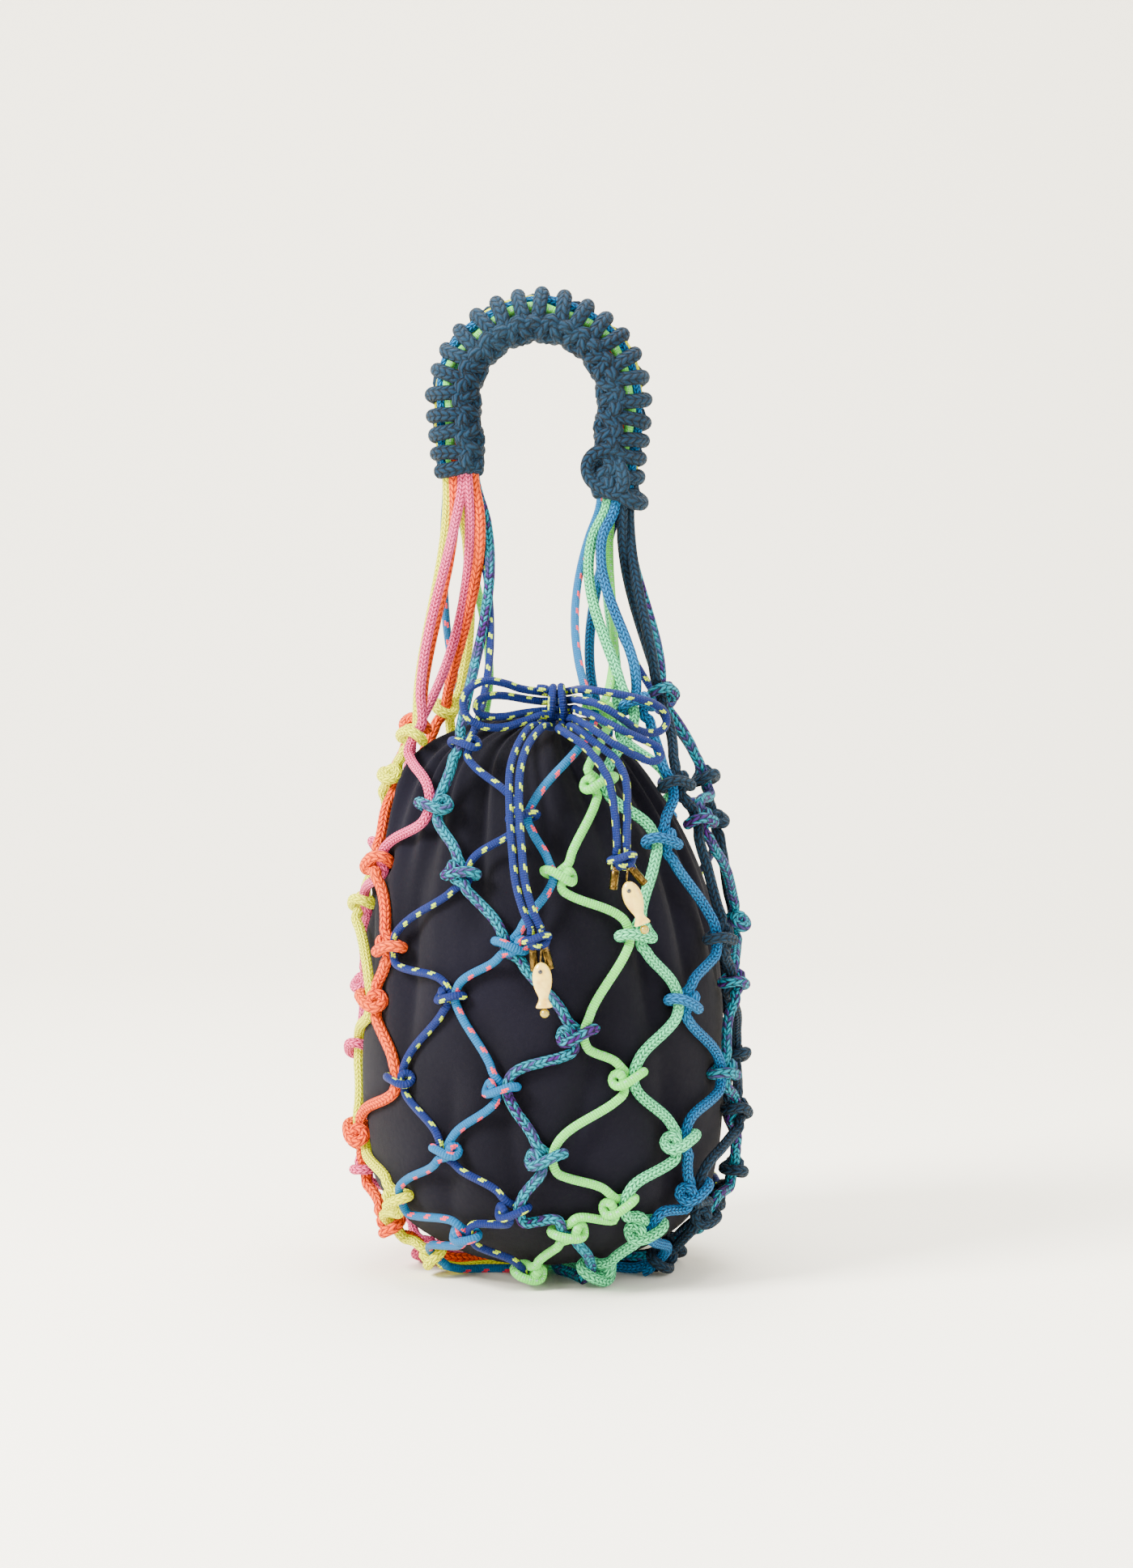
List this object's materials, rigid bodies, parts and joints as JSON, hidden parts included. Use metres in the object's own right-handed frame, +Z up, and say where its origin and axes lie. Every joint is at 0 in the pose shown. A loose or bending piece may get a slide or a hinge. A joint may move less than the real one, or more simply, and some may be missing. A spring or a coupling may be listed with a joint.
{
  "type": "macrame bag",
  "caption": "Net bag of knotted coloured cords with a wrapped arch handle, holding a dark drawstring pouch tied in a bow with small charms.",
  "frame": {"origin": "centre of the cords' gather under the pouch, on the floor", "axes": "+Z up to the handle; the bow faces -Y; +X to the right seen from the front"},
  "size_m": [0.1921, 0.1982, 0.4495],
  "materials": {
    "cord_yellow": "knitted or braided polyester cord",
    "cord_pink": "knitted or braided polyester cord",
    "cord_orange": "knitted or braided polyester cord",
    "cord_dark_teal": "knitted or braided polyester cord",
    "cord_teal_purple": "knitted or braided polyester cord",
    "cord_bright_blue": "knitted or braided polyester cord",
    "cord_mint": "knitted or braided polyester cord",
    "cord_light_green": "knitted or braided polyester cord",
    "cord_blue_yellow": "knitted or braided polyester cord",
    "cord_cyan_pink": "knitted or braided polyester cord",
    "pouch_cloth": "matt plain-woven cloth",
    "brass": "polished",
    "fish_glaze": "glazed",
    "bead_glaze": "gloss"
  },
  "bodies": {
    "root": {"pouch": "pouch_cloth", "net_cord_1": "cord_yellow", "net_cord_2": "cord_pink", "net_cord_3": "cord_teal_purple", "net_cord_4": "cord_blue_yellow", "net_cord_5": "cord_cyan_pink", "net_cord_6": "cord_light_green", "net_cord_7": "cord_mint", "net_cord_8": "cord_bright_blue", "net_cord_9": "cord_dark_teal", "net_cord_10": "cord_teal_purple", "net_cord_11": "cord_dark_teal", "net_cord_12": "cord_blue_yellow", "net_cord_13": "cord_mint", "net_cord_14": "cord_bright_blue", "net_cord_15": "cord_light_green", "net_cord_16": "cord_cyan_pink", "net_cord_17": "cord_yellow", "net_cord_18": "cord_orange", "net_cord_19": "cord_pink", "net_cord_20": "cord_orange", "net_base": "cord_mint", "carry_cords_left": "cord_pink", "carry_cords_right": "cord_bright_blue", "handle_core": "cord_bright_blue", "handle_wrap": "cord_dark_teal", "bow_loop_left_outer": "cord_blue_yellow", "bow_loop_left_inner": "cord_blue_yellow", "bow_loop_right_outer": "cord_blue_yellow", "bow_loop_right_lower": "cord_blue_yellow", "tail_left_a": "cord_blue_yellow", "tail_left_b": "cord_blue_yellow", "tail_right_a": "cord_blue_yellow", "tail_right_b": "cord_blue_yellow", "bow_knot": "cord_blue_yellow", "tail_knot_left": "cord_blue_yellow", "tail_knot_right": "cord_blue_yellow", "tip_left_a": "brass", "tip_left_b": "brass", "tip_right_a": "brass", "tip_right_b": "brass", "charm_ring_left": "brass", "fish_left": "fish_glaze", "bead_left": "bead_glaze", "charm_ring_right": "brass", "fish_right": "fish_glaze", "bead_right": "bead_glaze"}
  },
  "joints": []
}
